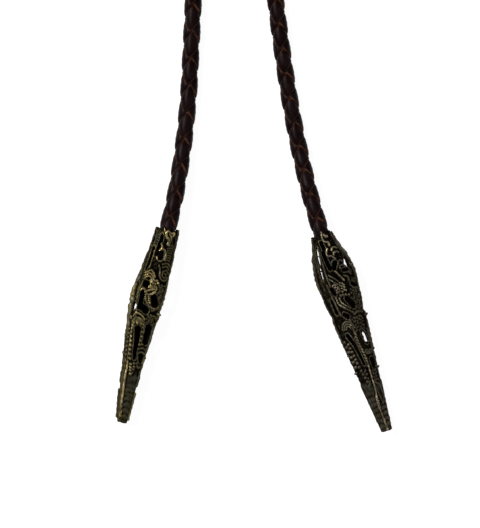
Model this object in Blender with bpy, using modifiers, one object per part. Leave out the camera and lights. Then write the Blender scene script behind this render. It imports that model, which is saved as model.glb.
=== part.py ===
"""Bolo tie: a braided leather cord with two pierced bronze tips and a plain slide, lying on a flat surface.

Metres, +Z up. The origin is the middle of the slide's flat back, which lies on the surface. +Y runs up the
tie, from the tips through the slide to the neck loop, and +X to the tie's right as seen from above.
"""
import math

import bmesh
import bpy
from mathutils import Matrix, Vector

MM = 0.001

# Cord
CORD_DIAMETER = 5.0 * MM
CLEARANCE = 0.3 * MM
CORD_STEP = 12.0 * MM
CORD_BEVEL_RESOLUTION = 3
CURVE_STEPS = 24
CORD_JOINT_GAP = 0.4 * MM
TAIL_IN_TIP = 10.0 * MM
NECK_TOP = 255.5 * MM

# Slide
TUBE_SPACING = 16.0 * MM
TUBE_LENGTH = 24.0 * MM
TUBE_WALL = 1.0 * MM
TUBE_SIDES = 20
BACK_REACH = 3.0 * MM
BACK_LENGTH = 12.0 * MM
BACK_THICKNESS = 1.0 * MM
PLATE_WIDTH = 34.0 * MM
PLATE_LENGTH = 42.0 * MM
PLATE_THICKNESS = 1.8 * MM
PLATE_BEVEL = 0.5 * MM
PLATE_BEVEL_SEGMENTS = 2
SHARP_EDGE = math.radians(60)
PLATE_SIDES = 40
DOME_BORDER = 3.0 * MM
DOME_HEIGHT = 3.2 * MM
DOME_RINGS = 12
FUSE_DEPTH = 0.3 * MM

# Tips
SHEET = 0.4 * MM
RELIEF = 0.3 * MM
PYRAMID_HALF_SIDE = 3.35 * MM
END_HALF_SIDE = 0.92 * MM
TIP_DROOP = math.radians(2.0)
PYRAMID_START = 0.425
END_TONGUE = 0.7 * MM
MOUTH_WAVE = 0.6 * MM
MOUTH_WAVES = 3
WINDOW_ROUNDING = 0.25

BORE_RADIUS = CORD_DIAMETER / 2 + CLEARANCE
TUBE_RADIUS = BORE_RADIUS + TUBE_WALL
TUBE_HEIGHT = BACK_THICKNESS - FUSE_DEPTH + TUBE_RADIUS
MOUTH_RADIUS = CORD_DIAMETER / 2 + CLEARANCE + SHEET

# Where each tip lies: how far its mouth is outwards from the tube's axis and down from the tube's end, its
# length, how far it leans and is bowed outwards, and how its panels are rolled to +X at the mouth and along
# the pyramid.
TIPS = {
    "left": {"sign": -1, "out": 9.05 * MM, "down": 121.2 * MM, "length": 57.3 * MM,
             "lean": math.radians(13.4), "bow": 1.2 * MM,
             "mouth_roll": math.radians(23), "pyramid_roll": math.radians(20)},
    "right": {"sign": 1, "out": 19.17 * MM, "down": 122.7 * MM, "length": 59.7 * MM,
              "lean": math.radians(18.5), "bow": 0.0,
              "mouth_roll": math.radians(17), "pyramid_roll": math.radians(45)},
}

# The four leaves round the mouth: share of the tip's length, half width as a share of the mouth's radius in
# the left and in the right tip, and how square the section is, from 0, round, to 1, square.
LEAF_ROWS = (
    {"along": 0.000, "left": 1.000, "right": 1.00, "square": 0.00},
    {"along": 0.050, "left": 1.010, "right": 1.10, "square": 0.00},
    {"along": 0.100, "left": 1.020, "right": 1.28, "square": 0.10},
    {"along": 0.160, "left": 1.090, "right": 1.32, "square": 0.40},
    {"along": 0.220, "left": 1.080, "right": 1.33, "square": 0.65},
    {"along": 0.280, "left": 1.130, "right": 1.25, "square": 0.85},
    {"along": 0.340, "left": 1.140, "right": 1.16, "square": 0.95},
    {"along": 0.380, "left": 1.070, "right": 1.05, "square": 1.00},
    {"along": 0.405, "left": 0.990, "right": 0.97, "square": 1.00},
)

# One panel of a tip, mouth first: o is an opening, = a raised rib and . plain sheet.
PANEL_CHART = (
    "=o==.=",
    "=.==o=",
    "=o=.o=",
    "=o==o=",
    "=o=.o=",
    "=o==o=",
    "=.=.o=",
    "====.=",
    "=.==.=",
    "=o==.=",
    "=.====",
    "=o=o.=",
    "=o=o.=",
    "=.=.==",
    "=.o=.=",
    "======",
    "=.==.=",
    "=o==o=",
    "=o==o=",
    "=o==o=",
    "=o==o=",
    "=o==.=",
    "=o==o=",
    "=o==o=",
    "=o==o=",
    "======",
    "=o==.=",
    "=.==.=",
    "=....=",
    "=....=",
    "======",
    "=....=",
    "======",
    "=....=",
    "======",
    "=....=",
)
# Where a panel's columns start, as shares of its half width, at the mouth and at the far end.
COLUMN_EDGES = ((-1.0, -1.0), (-0.84, -0.72), (-0.12, -0.20), (0.27, 0.0), (0.62, 0.20), (0.84, 0.72))
PANELS = 4

# Routes of the cord, as chosen points in millimetres: outwards from the tube's axis, away from the tube's
# end, and how far the cord has risen from lying on the surface (0) to the bore or mouth that it meets (1).
TAIL_ROUTES = {
    "left": ((0.02, 3.4, 0.98), (0.35, 13.0, 0.45), (0.8, 26.0, 0.06), (1.2, 40.4, 0.0), (1.7, 54.9, 0.0),
             (2.35, 68.8, 0.0), (3.1, 82.6, 0.0), (4.5, 96.5, 0.06), (6.65, 110.4, 0.66)),
    "right": ((0.05, 3.4, 0.98), (1.2, 13.0, 0.45), (2.85, 26.0, 0.06), (4.4, 40.4, 0.0), (6.0, 54.9, 0.0),
              (7.8, 68.8, 0.0), (9.9, 82.6, 0.0), (12.5, 96.5, 0.06), (15.7, 110.4, 0.66)),
}
TAIL_POINTS_NEAR_SLIDE = 5
NECK_ROUTE = (
    (0.3, 12.0, 0.5), (2.0, 28.0, 0.04), (7.0, 48.0, 0.0), (16.5, 72.0, 0.0), (28.0, 96.0, 0.0),
    (39.0, 120.0, 0.0), (48.0, 144.0, 0.0), (53.5, 168.0, 0.0), (55.0, 191.0, 0.0), (51.5, 213.0, 0.0),
    (42.0, 232.0, 0.0), (27.0, 245.5, 0.0), (9.5, 253.0, 0.0),
)


def remove_all_objects():
    for obj in list(bpy.data.objects):
        bpy.data.objects.remove(obj, do_unlink=True)


def new_collection(name):
    collection = bpy.data.collections.new(name)
    bpy.context.scene.collection.children.link(collection)
    return collection


def new_material(name, colour, roughness, metallic):
    material = bpy.data.materials.new(name)
    material.use_nodes = True
    shader = material.node_tree.nodes["Principled BSDF"]
    shader.inputs["Base Color"].default_value = (*colour, 1.0)
    shader.inputs["Roughness"].default_value = roughness
    shader.inputs["Metallic"].default_value = metallic
    return material


def add_object(name, data, collection, material):
    obj = bpy.data.objects.new(name, data)
    collection.objects.link(obj)
    data.materials.append(material)
    return obj


def curve_through(points, step):
    """A Catmull-Rom curve through the points, read off at even steps of about the given length."""
    ends = [2 * points[0] - points[1], *points, 2 * points[-1] - points[-2]]
    fine = []
    for before, start, end, after in zip(ends, ends[1:], ends[2:], ends[3:]):
        for k in range(CURVE_STEPS):
            t = k / CURVE_STEPS
            rise = (end - before) * t + (2 * before - 5 * start + 4 * end - after) * t ** 2
            fine.append(0.5 * (2 * start + rise + (3 * start - before - 3 * end + after) * t ** 3))
    fine.append(points[-1])
    lengths = [0.0]
    for a, b in zip(fine, fine[1:]):
        lengths.append(lengths[-1] + (b - a).length)
    count = max(2, round(lengths[-1] / step))
    even = []
    k = 0
    for i in range(count + 1):
        wanted = lengths[-1] * i / count
        while k < len(fine) - 2 and lengths[k + 1] < wanted:
            k += 1
        share = (wanted - lengths[k]) / (lengths[k + 1] - lengths[k])
        even.append(fine[k].lerp(fine[k + 1], min(max(share, 0.0), 1.0)))
    return even


def add_cord(name, points, collection, material):
    """A round tube along the route, with its ends capped."""
    line = curve_through(points, CORD_STEP)
    curve = bpy.data.curves.new(name, "CURVE")
    curve.dimensions = "3D"
    curve.bevel_depth = CORD_DIAMETER / 2
    curve.bevel_resolution = CORD_BEVEL_RESOLUTION
    curve.use_fill_caps = True
    spline = curve.splines.new("POLY")
    spline.points.add(len(line) - 1)
    for spline_point, place in zip(spline.points, line):
        spline_point.co = (*place, 1.0)
    return add_object(name, curve, collection, material)


def route_points(route, sign, direction, height):
    """The chosen points in metres, on one side of the tie, up (+1) or down (-1) from the tube's end."""
    lying = CORD_DIAMETER / 2
    return [Vector((sign * (TUBE_SPACING / 2 + out * MM), direction * (TUBE_LENGTH / 2 + away * MM),
                    mix(lying, height, rise))) for out, away, rise in route]


def mix(a, b, share):
    return a + (b - a) * share


def ease(share):
    share = min(max(share, 0.0), 1.0)
    return share * share * (3 - 2 * share)


def section(side, along):
    """Half width and squareness of a tip's section at a share of its length."""
    if along >= PYRAMID_START:
        share = (along - PYRAMID_START) / (1 - PYRAMID_START)
        return mix(PYRAMID_HALF_SIDE, END_HALF_SIDE, share), 1.0
    last = LEAF_ROWS[-1]
    for row, after in zip(LEAF_ROWS, LEAF_ROWS[1:]):
        if along <= after["along"]:
            share = (along - row["along"]) / (after["along"] - row["along"])
            half = MOUTH_RADIUS * mix(row[side], after[side], share)
            return half, mix(row["square"], after["square"], share)
    share = (along - last["along"]) / (PYRAMID_START - last["along"])
    return mix(MOUTH_RADIUS * last[side], PYRAMID_HALF_SIDE, share), 1.0


def bow_share(along):
    """How far the tip's axis is bowed at a share of its length: none at its ends, fully at its waist."""
    if along < PYRAMID_START:
        return ease(along / PYRAMID_START)
    return 1.0 - ((along - PYRAMID_START) / (1 - PYRAMID_START)) ** 2


def section_point(side, along, panel, across, raised):
    """A point of the tip's outer face in its own frame: x up from the surface, y sideways, z along its axis.

    How far across the panel is a share of its half width, from -1 to 1.
    """
    half, square = section(side, along)
    angle = math.atan(across) + panel * math.tau / PANELS
    tip = TIPS[side]
    angle += mix(tip["mouth_roll"], tip["pyramid_roll"], ease(along / PYRAMID_START))
    radius = half * mix(1.0, math.hypot(1.0, across), square) + raised
    sideways = tip["sign"] * tip["bow"] * bow_share(along)
    return Vector((radius * math.cos(angle), radius * math.sin(angle) + sideways, along * tip["length"]))


def tip_frame(side):
    """The tip's frame: its mouth's centre, with the lowest point of leaves and pyramid on the surface."""
    tip = TIPS[side]
    flat = Vector((tip["sign"] * math.sin(tip["lean"]), -math.cos(tip["lean"]), 0.0))
    axis = flat * math.cos(TIP_DROOP) - Vector((0, 0, 1)) * math.sin(TIP_DROOP)
    up = flat * math.sin(TIP_DROOP) + Vector((0, 0, 1)) * math.cos(TIP_DROOP)
    sideways = up.cross(axis)
    turn = Matrix((up, sideways, axis)).transposed().to_4x4()
    rows = 2 * len(PANEL_CHART)
    lowest = min((turn @ section_point(side, row / rows, panel, 1.0, RELIEF)).z
                 for row in range(rows + 1) for panel in range(PANELS))
    mouth = (tip["sign"] * (TUBE_SPACING / 2 + tip["out"]), -TUBE_LENGTH / 2 - tip["down"], -lowest)
    return Matrix.Translation(mouth) @ turn


def chart_cell(row, column):
    """The chart's mark at a cell, going round to the next panel, or None beyond the mouth or the end."""
    if not 0 <= row < len(PANEL_CHART):
        return None
    return PANEL_CHART[row][column % len(PANEL_CHART[row])]


def chart_corner(row, column):
    """Where a corner of the chart's cells lies, in cells, how far it is raised, and whether it is used.

    How far it is raised is a share of the relief. The corner of a single opening moves towards its middle.
    """
    cells = [(row + down, column + over) for down in (-1, 0) for over in (-1, 0)]
    around = [(*cell, chart_cell(*cell)) for cell in cells]
    marks = [mark for _, _, mark in around if mark is not None]
    openings = [cell for cell in around if cell[2] == "o"]
    solid = [mark for mark in marks if mark != "o"]
    place = [float(row), float(column)]
    if len(openings) == 1 and 0 < row < len(PANEL_CHART):
        place[0] = mix(place[0], openings[0][0] + 0.5, WINDOW_ROUNDING)
        place[1] = mix(place[1], openings[0][1] + 0.5, WINDOW_ROUNDING)
    return place, solid.count("=") / max(len(solid), 1), bool(solid)


def across_at(column, along):
    """Share of the panel's half width at a column's edge, which may lie between two whole columns."""
    whole = math.floor(column)
    columns = len(COLUMN_EDGES)

    def edge(k):
        turns, k = divmod(k, columns)
        return 2.0 * turns + mix(*COLUMN_EDGES[k], along)

    return mix(edge(whole), edge(whole + 1), column - whole)


def add_tip(side, collection, material):
    """A pierced, folded sheet: the chart laid on four panels, its openings left out, then thickened."""
    rows = len(PANEL_CHART)
    columns = len(COLUMN_EDGES)
    frame = tip_frame(side)
    length = TIPS[side]["length"]
    bm = bmesh.new()
    grid = {}
    for row in range(rows + 1):
        for column in range(PANELS * columns):
            place, raised, used = chart_corner(row, column)
            if not used:
                continue
            along = place[0] / rows
            across = across_at(place[1], along)
            panel = math.floor((across + 1) / 2)
            across -= 2 * panel
            if row == 0:
                along += MOUTH_WAVE / length * (0.5 + 0.5 * math.cos(MOUTH_WAVES * math.pi * across))
            if row == rows:
                along -= END_TONGUE / length * across * across
            point = section_point(side, along, panel, across, raised * RELIEF)
            grid[row, column] = bm.verts.new(frame @ point)
    for row in range(rows):
        for column in range(PANELS * columns):
            if chart_cell(row, column) == "o":
                continue
            after = (column + 1) % (PANELS * columns)
            bm.faces.new((grid[row, column], grid[row, after], grid[row + 1, after], grid[row + 1, column]))
    mesh = bpy.data.meshes.new(side + "_tip")
    bm.to_mesh(mesh)
    bm.free()
    tip = add_object(side + "_tip", mesh, collection, material)
    wall = tip.modifiers.new("Sheet", "SOLIDIFY")
    wall.thickness = SHEET
    wall.offset = -1.0
    wall.use_even_offset = True
    return tip


def add_cylinder(name, radius, length, centre, sides, collection, material):
    """A cylinder whose axis runs along Y."""
    bpy.ops.mesh.primitive_cylinder_add(vertices=sides, radius=radius, depth=length, location=centre,
                                        rotation=(math.pi / 2, 0, 0))
    return keep(name, collection, material)


def keep(name, collection, material):
    """Names the object just added, and moves it to its collection with its material."""
    obj = bpy.context.object
    obj.name = name
    for old in list(obj.users_collection):
        old.objects.unlink(obj)
    collection.objects.link(obj)
    if material is not None:
        obj.data.materials.append(material)
    return obj


def hide_cutter(obj):
    obj.hide_render = True
    obj.display_type = "WIRE"


def join_or_cut(obj, other, operation):
    modifier = obj.modifiers.new(operation.title(), "BOOLEAN")
    modifier.operation = operation
    modifier.object = other
    modifier.solver = "EXACT"
    hide_cutter(other)


def add_dome(collection, base):
    """The upper half of a flattened sphere, a plain shield on the plate."""
    bm = bmesh.new()
    bmesh.ops.create_uvsphere(bm, u_segments=PLATE_SIDES, v_segments=DOME_RINGS, radius=1.0)
    cut = bmesh.ops.bisect_plane(bm, geom=[*bm.verts, *bm.edges, *bm.faces], plane_co=(0, 0, 0),
                                 plane_no=(0, 0, -1), clear_outer=True)
    rim = [edge for edge in cut["geom_cut"] if isinstance(edge, bmesh.types.BMEdge)]
    bmesh.ops.holes_fill(bm, edges=rim)
    size = (PLATE_WIDTH / 2 - DOME_BORDER, PLATE_LENGTH / 2 - DOME_BORDER, DOME_HEIGHT)
    bmesh.ops.scale(bm, vec=size, verts=bm.verts)
    bmesh.ops.recalc_face_normals(bm, faces=bm.faces)
    mesh = bpy.data.meshes.new("slide_dome")
    bm.to_mesh(mesh)
    bm.free()
    dome = bpy.data.objects.new("slide_dome", mesh)
    collection.objects.link(dome)
    dome.location.z = base
    return dome


def add_slide(collection, cutters, material):
    """One plain solid: an oval domed plate with two tubes and a flat back bar soldered behind it."""
    plate_base = TUBE_HEIGHT + TUBE_RADIUS - FUSE_DEPTH
    bpy.ops.mesh.primitive_cylinder_add(vertices=PLATE_SIDES, radius=1.0, depth=1.0)
    slide = keep("slide_clasp", collection, material)
    place = Matrix.Translation((0, 0, plate_base + PLATE_THICKNESS / 2))
    slide.data.transform(place @ Matrix.Diagonal((PLATE_WIDTH / 2, PLATE_LENGTH / 2, PLATE_THICKNESS, 1)))
    rounding = slide.modifiers.new("Edges", "BEVEL")
    rounding.width = PLATE_BEVEL
    rounding.segments = PLATE_BEVEL_SEGMENTS
    rounding.limit_method = "ANGLE"
    rounding.angle_limit = SHARP_EDGE
    dome = add_dome(cutters, plate_base + PLATE_THICKNESS - FUSE_DEPTH)
    join_or_cut(slide, dome, "UNION")
    for side, name in ((-1, "left"), (1, "right")):
        centre = (side * TUBE_SPACING / 2, 0, TUBE_HEIGHT)
        tube = add_cylinder(name + "_tube", TUBE_RADIUS, TUBE_LENGTH, centre, TUBE_SIDES, cutters, None)
        join_or_cut(slide, tube, "UNION")
    bpy.ops.mesh.primitive_cube_add(size=1.0, location=(0, 0, BACK_THICKNESS / 2))
    bar = keep("back_bar", cutters, None)
    bar.data.transform(Matrix.Diagonal((TUBE_SPACING + 2 * BACK_REACH, BACK_LENGTH, BACK_THICKNESS, 1)))
    join_or_cut(slide, bar, "UNION")
    for side, name in ((-1, "left"), (1, "right")):
        centre = (side * TUBE_SPACING / 2, 0, TUBE_HEIGHT)
        bore = add_cylinder(name + "_bore", BORE_RADIUS, 2 * TUBE_LENGTH, centre, TUBE_SIDES, cutters, None)
        join_or_cut(slide, bore, "DIFFERENCE")
    return slide


def tail_points(side):
    """The tail's chosen points, from the slide to the tip, then its stretch inside the tip's mouth."""
    sign = TIPS[side]["sign"]
    route = TAIL_ROUTES[side]
    frame = tip_frame(side)
    mouth = frame.translation
    inside = frame @ Vector((0, 0, TAIL_IN_TIP))
    start = Vector((sign * TUBE_SPACING / 2, -TUBE_LENGTH / 2 - CORD_JOINT_GAP, TUBE_HEIGHT))
    from_slide = route_points(route[:TAIL_POINTS_NEAR_SLIDE], sign, -1, TUBE_HEIGHT)
    to_tip = route_points(route[TAIL_POINTS_NEAR_SLIDE:], sign, -1, mouth.z)
    return [start, *from_slide, *to_tip, mouth, mouth.lerp(inside, 0.5), inside]


def neck_points():
    """The neck loop's points: through one tube, round the neck and back through the other tube."""
    through = [Vector((TUBE_SPACING / 2, y, TUBE_HEIGHT)) for y in (-TUBE_LENGTH / 2, 0.0, TUBE_LENGTH / 2)]
    right = [*through, *route_points(NECK_ROUTE, 1, 1, TUBE_HEIGHT)]
    top = Vector((0.0, TUBE_LENGTH / 2 + NECK_TOP, CORD_DIAMETER / 2))
    left = [Vector((-p.x, p.y, p.z)) for p in right]
    return [*left, top, *reversed(right)]


def build():
    remove_all_objects()
    parts = new_collection("bolo_tie")
    cutters = new_collection("cutters")
    leather = new_material("braided_leather", (0.020, 0.009, 0.009), 0.45, 0.0)
    bronze = new_material("antique_bronze", (0.16, 0.13, 0.07), 0.45, 0.9)
    slide_bronze = new_material("slide_bronze", (0.18, 0.14, 0.08), 0.4, 0.9)
    add_slide(parts, cutters, slide_bronze)
    add_cord("neck_loop", neck_points(), parts, leather)
    for side in TIPS:
        add_cord(side + "_tail", tail_points(side), parts, leather)
        add_tip(side, parts, bronze)


build()
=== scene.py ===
"""Bolo tie, the looks: a braided leather cord, two pierced antique bronze tips and a plain bronze slide.

Metres, +Z up, in the part's own frame: the origin is the middle of the slide's flat back, +Y runs up the tie
from the tips to the neck loop, and the tie lies on the floor at z = 0.
"""
import math

import bmesh
import bpy
import numpy as np
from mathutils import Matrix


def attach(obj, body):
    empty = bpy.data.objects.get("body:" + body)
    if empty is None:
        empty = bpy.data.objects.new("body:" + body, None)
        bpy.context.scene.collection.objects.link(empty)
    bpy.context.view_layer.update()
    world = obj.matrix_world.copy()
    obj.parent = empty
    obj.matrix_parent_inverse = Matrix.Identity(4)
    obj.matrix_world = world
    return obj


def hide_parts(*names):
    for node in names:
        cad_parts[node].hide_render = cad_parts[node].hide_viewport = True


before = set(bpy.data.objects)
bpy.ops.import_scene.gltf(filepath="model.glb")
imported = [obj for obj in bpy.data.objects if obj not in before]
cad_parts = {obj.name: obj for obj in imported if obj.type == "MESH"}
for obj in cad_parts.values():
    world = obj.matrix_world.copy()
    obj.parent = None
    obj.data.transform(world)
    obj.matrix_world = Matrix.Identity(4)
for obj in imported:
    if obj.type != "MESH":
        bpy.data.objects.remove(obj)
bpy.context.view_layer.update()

MM = 0.001

# Cord, with the sizes and the route's chosen points of the tie's construction
CORD_DIAMETER = 5.0 * MM
TUBE_SPACING = 16.0 * MM
TUBE_LENGTH = 24.0 * MM
TUBE_HEIGHT = 4.5 * MM
CORD_JOINT_GAP = 0.4 * MM
TAIL_IN_TIP = 10.0 * MM
NECK_TOP = 255.5 * MM
TAIL_ROUTES = {
    "left": ((0.02, 3.4, 0.98), (0.35, 13.0, 0.45), (0.8, 26.0, 0.06), (1.2, 40.4, 0.0), (1.7, 54.9, 0.0),
             (2.35, 68.8, 0.0), (3.1, 82.6, 0.0), (4.5, 96.5, 0.06), (6.65, 110.4, 0.66)),
    "right": ((0.05, 3.4, 0.98), (1.2, 13.0, 0.45), (2.85, 26.0, 0.06), (4.4, 40.4, 0.0), (6.0, 54.9, 0.0),
              (7.8, 68.8, 0.0), (9.9, 82.6, 0.0), (12.5, 96.5, 0.06), (15.7, 110.4, 0.66)),
}
TAIL_POINTS_NEAR_SLIDE = 5
ROUTE_STEPS = 24
CORD_PATH_POINTS = 60
NECK_ROUTE = (
    (0.3, 12.0, 0.5), (2.0, 28.0, 0.04), (7.0, 48.0, 0.0), (16.5, 72.0, 0.0), (28.0, 96.0, 0.0),
    (39.0, 120.0, 0.0), (48.0, 144.0, 0.0), (53.5, 168.0, 0.0), (55.0, 191.0, 0.0), (51.5, 213.0, 0.0),
    (42.0, 232.0, 0.0), (27.0, 245.5, 0.0), (9.5, 253.0, 0.0),
)

# Braid: four flat thongs, two wound each way, whose upper faces make a column of lenses seen from above
BRAID_PITCH = {"left": 15.5 * MM, "right": 14.4 * MM}
FIRST_LENS_TIP = {"left": 64.0 * MM, "right": 69.3 * MM}
THONG_MIDDLE = 1.66 * MM
THONG_SWING = 0.44 * MM
SWING_SQUARENESS = 2.0
THONG_COVER = 0.97
TAIL_STEP = 0.42 * MM
NECK_STEP = 0.62 * MM
OVERLAP_IN_TUBE = 1.5 * MM
# Leather's colours
MAROON = (0.0040, 0.0006, 0.0008)
BROWN = (0.0074, 0.0027, 0.0032)
# Painted shade: near black where a thong goes under the next and where a tip hides the cord
PAINTED_SHADE_COLOUR = (0.0006, 0.0003, 0.0003)
CUT_EDGE = (0.066, 0.026, 0.014)
# Round a thong's section: the place across, from the edge nearer the slide (1) to the one nearer the tip
# (-1), the height in millimetres above the thong's middle, and how much of the raw cut edge shows there
THONG_SECTION = (
    (1.00, -0.22, 1.0), (0.95, 0.12, 1.0), (0.86, 0.24, 0.1), (0.50, 0.38, 0.0), (0.00, 0.46, 0.0),
    (-0.50, 0.47, 0.0), (-0.80, 0.42, 0.0), (-0.89, 0.36, 1.0), (-1.00, -0.10, 1.0), (-0.93, -0.42, 0.3),
    (0.00, -0.46, 0.0), (0.93, -0.44, 0.3),
)

# Tips, with the sizes and sections of the tie's construction
SHEET = 0.4 * MM
RELIEF = 0.3 * MM
CLEARANCE = 0.3 * MM
MOUTH_RADIUS = CORD_DIAMETER / 2 + CLEARANCE + SHEET
PYRAMID_HALF_SIDE = 3.35 * MM
END_HALF_SIDE = 0.92 * MM
TIP_DROOP = math.radians(2.0)
PYRAMID_START = 0.425
END_TONGUE = 0.7 * MM
END_SCOOP = 0.3
END_SHARE = 0.03
SEAT_ROWS = 73
# The rim's waves and ruffles die out within a share of the length. A ruffle's place and width are in half
# panels, with 0 at the middle of panel 0.
RIM_SHARE = 0.03
MOUTH_WAVE = 0.6 * MM
RUFFLE_RISE = 1.0 * MM
RUFFLE_WIDTH = 0.22
RUFFLES = {"left": (-0.85, 0.75), "right": (-0.25, 0.55)}
TIPS = {
    "left": {"sign": -1, "out": 9.05 * MM, "down": 121.2 * MM, "length": 57.3 * MM,
             "lean": math.radians(13.4), "bow": 1.2 * MM, "mouth_roll": math.radians(23),
             "pyramid_roll": math.radians(20)},
    "right": {"sign": 1, "out": 19.17 * MM, "down": 122.7 * MM, "length": 59.7 * MM,
              "lean": math.radians(18.5), "bow": 0.0, "mouth_roll": math.radians(17),
              "pyramid_roll": math.radians(45)},
}
LEAF_ROWS = (
    {"along": 0.000, "left": 1.000, "right": 1.00, "square": 0.00},
    {"along": 0.050, "left": 1.010, "right": 1.10, "square": 0.00},
    {"along": 0.100, "left": 1.020, "right": 1.28, "square": 0.10},
    {"along": 0.160, "left": 1.090, "right": 1.32, "square": 0.40},
    {"along": 0.220, "left": 1.080, "right": 1.33, "square": 0.65},
    {"along": 0.280, "left": 1.130, "right": 1.25, "square": 0.85},
    {"along": 0.340, "left": 1.140, "right": 1.16, "square": 0.95},
    {"along": 0.380, "left": 1.070, "right": 1.05, "square": 1.00},
    {"along": 0.405, "left": 0.990, "right": 0.97, "square": 1.00},
)
PANELS = 4
PANEL_COLUMNS = 40
PANEL_ROWS = 290
# Shares of the length where the end's plates start and over which they rise
PLATE_START = 0.735
PLATE_RISE = 0.03
# How finely a motif's lines are worked out, and how often the point above another is worked out again
MOTIF_STEPS = 6
SPIRAL_POINTS = 26
ARC_POINTS = 14
ABOVE_ROUNDS = 6
# Heights above the sheet and distances from an opening's edge, in millimetres
PLATE_HEIGHT = 0.28
COARSE_LUMPS = 0.05
FINE_LUMPS = 0.06
OPENING_SPREAD = 0.12
LIP_DISTANCE = 0.2
LIP_WIDTH = 0.16
UNDERSIDE_MARGIN = 0.6
THROUGH_MARGIN = 0.3
FAR = 9.0
# Least square of the edge distance's slope, so that no point slides too far
LEAST_SLOPE = 0.2
# Cells over which the height is levelled to find what stands proud, and what stands sharply so
PROUD_REACH = 5
SHARP_REACH = 3
# How brightly a motif is rubbed
DULL = 0.22
HALF_BRIGHT = 0.5
BRIGHT = 1.0
GLEAMING = 1.8
# How far each bronze is tarnished, worn and stained, and its colours
BLACK = (0.0008, 0.0006, 0.0005)
SOOT = (0.0050, 0.0038, 0.0022)
OLIVE_BRONZE = {"tarnish": 0.35, "wear": 1.0, "stained": 0.25, "olive": (0.041, 0.036, 0.014),
                "pale": (0.052, 0.049, 0.034), "stain": (0.034, 0.037, 0.040), "gold": (0.53, 0.41, 0.18)}
BRONZES = {
    "left": OLIVE_BRONZE,
    "right": {"tarnish": 0.52, "wear": 0.66, "stained": 0.60, "olive": (0.034, 0.031, 0.019),
              "pale": (0.056, 0.055, 0.047), "stain": (0.036, 0.023, 0.019), "gold": (0.50, 0.41, 0.25)},
    "slide": {**OLIVE_BRONZE, "olive": (0.040, 0.035, 0.015)},
}

# Slide
PLATE_WIDTH = 34.0 * MM
PLATE_LENGTH = 42.0 * MM
PLATE_LEVEL = 9.0 * MM
SHARP_EDGE = math.radians(40)
MERGE_DISTANCE = 0.001 * MM

# Picture: the camera looks straight down on the tips, and the picture is this wide and high on the floor
PICTURE_CENTRE = (3.76 * MM, -143.2 * MM)
PICTURE_HEIGHT = 152.6 * MM
CAMERA_HEIGHT = 1.2
FLOOR_SIZE = 20.0
# Width, tilt from straight down and turn in degrees
LIGHTS = {
    "key_light": {"strength": 3.4, "width": 24, "tilt": 40, "turn": 235},
    "fill_light": {"strength": 0.4, "width": 90, "tilt": 45, "turn": 70},
}
SURROUND_STRENGTH = 0.24


class Value:
    """A node's output that takes part in sums: each operator adds the Math node that it stands for."""

    def __init__(self, finish, socket):
        self.finish = finish
        self.socket = socket

    def sum(self, operation, *values):
        return self.finish.node("Math", {"operation": operation}, dict(enumerate(values)))

    def __add__(self, other):
        return self.sum("ADD", self, other)

    def __sub__(self, other):
        return self.sum("SUBTRACT", self, other)

    def __rsub__(self, other):
        return self.sum("SUBTRACT", other, self)

    def __mul__(self, other):
        return self.sum("MULTIPLY", self, other)

    __radd__ = __add__
    __rmul__ = __mul__

    def clipped(self):
        return self.sum("MINIMUM", self.sum("MAXIMUM", self, 0.0), 1.0)

    def step(self, low, high):
        """0 below low and 1 above high, with an eased rise between."""
        return self.finish.node("MapRange", {"interpolation_type": "SMOOTHSTEP"},
                                {"Value": self, "From Min": low, "From Max": high}, "Result")


class Finish:
    """A material, with constants for its shader's sockets, and the one method that adds any node to it."""

    def __init__(self, name, constants):
        self.material = bpy.data.materials.new(name)
        self.material.use_nodes = True
        self.tree = self.material.node_tree
        self.surface = self.tree.nodes["Principled BSDF"]
        for socket, value in constants.items():
            self.surface.inputs[socket].default_value = value

    def put(self, socket, value):
        if isinstance(value, Value):
            self.tree.links.new(value.socket, socket)
        else:
            socket.default_value = value

    def node(self, kind, settings, values, output=0):
        made = self.tree.nodes.new("ShaderNode" + kind)
        for name, setting in settings.items():
            setattr(made, name, setting)
        for name, value in values.items():
            self.put(made.inputs[name], value)
        return Value(self, made.outputs[output])

    def feed(self, **values):
        """Links what varies over the surface to the shader's own sockets."""
        for socket, value in values.items():
            self.put(self.surface.inputs[socket.replace("_", " ").title()], value)

    def place(self):
        return self.node("TexCoord", {}, {}, "Object")

    def number(self, name):
        return self.node("Attribute", {"attribute_name": name}, {}, "Fac")

    def noise(self, place, size, detail=3.0):
        """Noise from 0 to 1 whose lumps are about the given size."""
        return self.node("TexNoise", {}, {"Vector": place, "Scale": 1.0 / size, "Detail": detail}, "Fac")

    def blend(self, share, low, high):
        """A colour between two, each a colour or a link."""
        low, high = ((*c, 1.0) if isinstance(c, tuple) else c for c in (low, high))
        return self.node("Mix", {"data_type": "RGBA"}, {0: share, 6: low, 7: high}, 2)

    def bump(self, height, depth, strength=1.0):
        return self.node("Bump", {}, {"Height": height, "Distance": depth, "Strength": strength}, "Normal")


def leather_finish():
    """Dark maroon thongs with a fine grain, painted shade of near black where they go under and where a tip
    hides them, and orange-brown raw edges.
    """
    finish = Finish("braided_leather", {"Specular IOR Level": 0.045})
    place = finish.place()
    grain = finish.noise(place, 0.35 * MM, 4.0)
    patches = finish.noise(place, 3.0 * MM, 2.0)
    wear = finish.noise(place, 1.6 * MM).step(0.36, 0.62)
    edge = (finish.number("raw_edge") * (0.25 + 0.75 * wear)).clipped()
    top = finish.blend(patches.step(0.35, 0.65), MAROON, BROWN)
    # Painted shade: near black where a thong goes under the next and where a tip hides the cord
    painted_shade = finish.number("painted_shade")
    seen = finish.blend(0.92 * painted_shade, top, PAINTED_SHADE_COLOUR)
    colour = finish.blend(edge, seen, CUT_EDGE)
    finish.feed(base_color=colour, roughness=0.30 + 0.16 * grain + 0.3 * edge + 0.5 * painted_shade,
                normal=finish.bump(grain, 0.05 * MM, 0.6))
    return finish.material


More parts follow.
